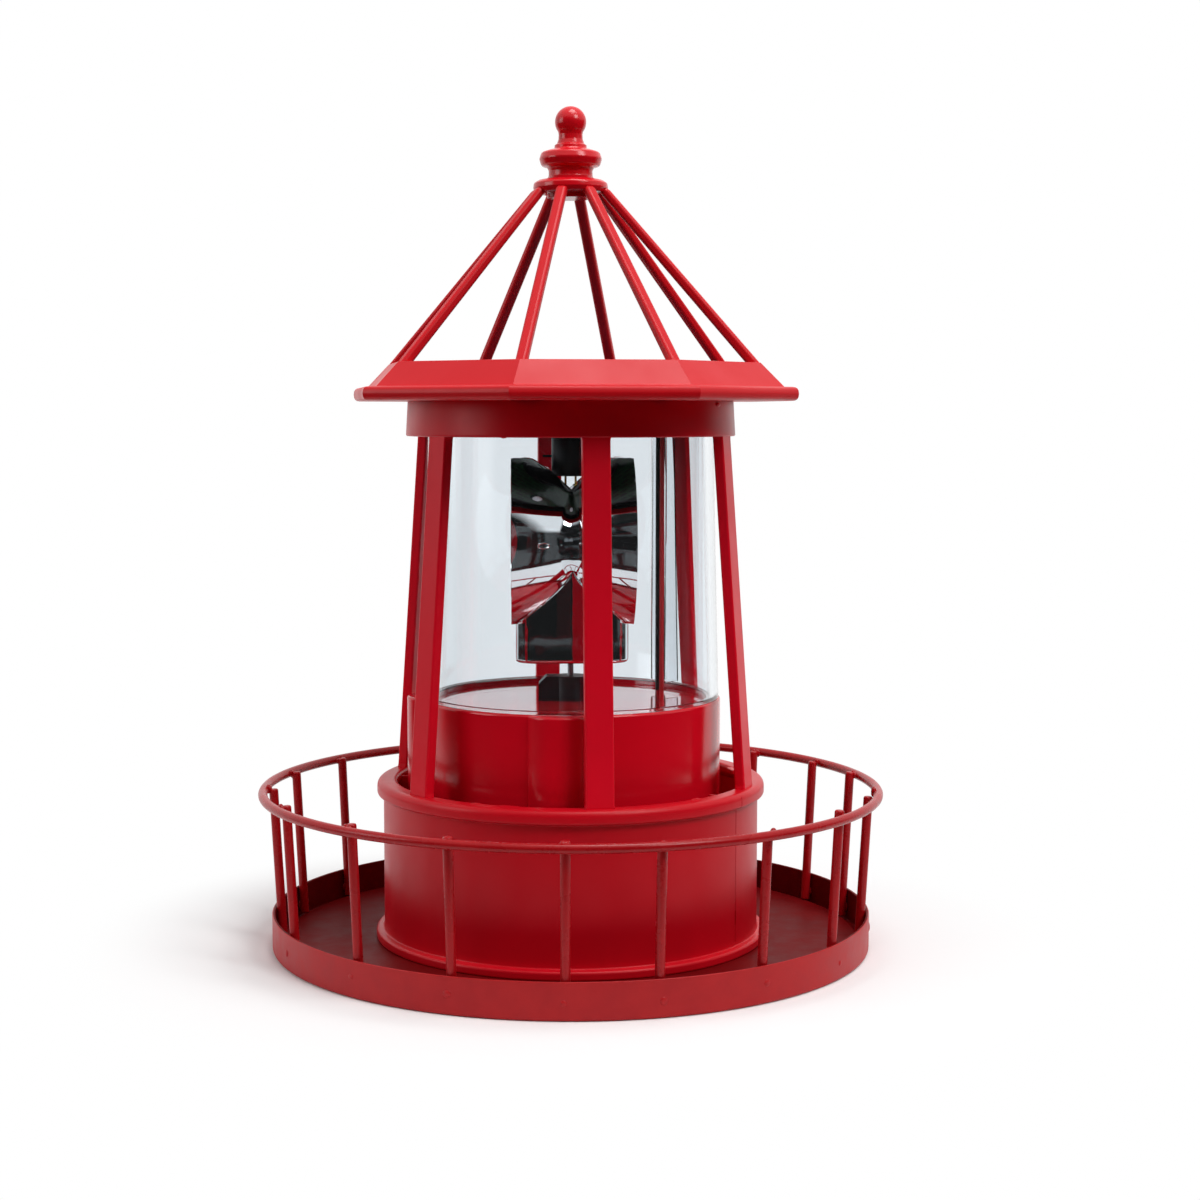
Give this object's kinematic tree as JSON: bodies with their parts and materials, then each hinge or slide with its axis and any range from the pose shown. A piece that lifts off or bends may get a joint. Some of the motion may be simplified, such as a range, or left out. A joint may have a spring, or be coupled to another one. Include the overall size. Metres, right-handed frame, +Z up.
{
  "type": "garden lighthouse ornament",
  "caption": "Lighthouse lantern with a turning mirror in a clear cylinder, sloping window posts and a ribbed roof, standing in a railed gallery tray.",
  "frame": {"origin": "middle of the gallery tray's foot, on the ground", "axes": "+Z up, +X to the right and +Y to the back of the picture's front, where one window post faces -Y"},
  "size_m": [0.1562, 0.1562, 0.2081],
  "materials": {
    "tray_paint": "satin wine-red enamel on pressed sheet steel",
    "rail_paint": "satin wine-red enamel on drawn steel wire",
    "tower_plastic": "smooth moulded plastic, red",
    "roof_plastic": "smooth moulded plastic, red",
    "clear_plastic": "clear moulded plastic",
    "cup_plastic": "high-gloss moulded plastic, crimson",
    "black_plastic": "moulded plastic, black",
    "motor_steel": "zinc-plated steel",
    "mirror_chrome": "vacuum-plated plastic, bright",
    "led_resin": "clear epoxy",
    "board_green": "green solder mask on fibreglass",
    "screw_steel": "plated steel",
    "panel_resin": "clear resin over a dark backing",
    "cell_silicon": "silicon cells",
    "battery_sleeve": "printed shrink sleeve, green",
    "contact_steel": "nickel-plated spring steel",
    "red_sheath": "insulated wire, red",
    "black_sheath": "insulated wire, black"
  },
  "bodies": {
    "lighthouse": {"gallery_tray": "tray_paint", "rail_ring": "rail_paint", "rail_balusters": "rail_paint", "drum": "tower_plastic", "window_posts": "tower_plastic", "top_band": "tower_plastic", "roof_skirt": "roof_plastic", "roof_ribs": "roof_plastic", "finial": "roof_plastic", "lens_cylinder": "clear_plastic", "lamp_cup": "cup_plastic", "floor_disc": "cup_plastic", "bearing_block": "black_plastic", "motor_can": "motor_steel", "lamp_holder": "black_plastic", "led_lamp": "led_resin", "driver_board": "board_green", "board_screws": "screw_steel", "solar_housing": "black_plastic", "solar_panel": "panel_resin", "solar_cells": "cell_silicon", "battery_cells": "battery_sleeve", "battery_contacts": "contact_steel", "base_cover": "black_plastic", "cover_screws": "screw_steel", "switch_body": "motor_steel", "wire_red": "red_sheath", "wire_black": "black_sheath", "tray_screws": "screw_steel"},
    "rotor": {"reflector": "mirror_chrome", "motor_shaft": "motor_steel"},
    "power_slider": {"switch_knob": "black_plastic"},
    "battery_lid": {"battery_door": "black_plastic", "battery_springs": "contact_steel", "battery_link": "contact_steel", "door_screw": "screw_steel"}
  },
  "joints": [
    {"name": "mirror_spin", "type": "hinge", "parent": "lighthouse", "child": "rotor", "pos_m": [0, 0, 0.0643], "axis": [0, 0, 1], "continuous": true},
    {"name": "switch_slide", "type": "slide", "parent": "lighthouse", "child": "power_slider", "axis": [1, 0, 0], "range_m": [0, 0.003]},
    {"name": "battery_door_lift", "type": "slide", "parent": "lighthouse", "child": "battery_lid", "axis": [0, 0, -1], "range_m": [0, 0.03]}
  ]
}
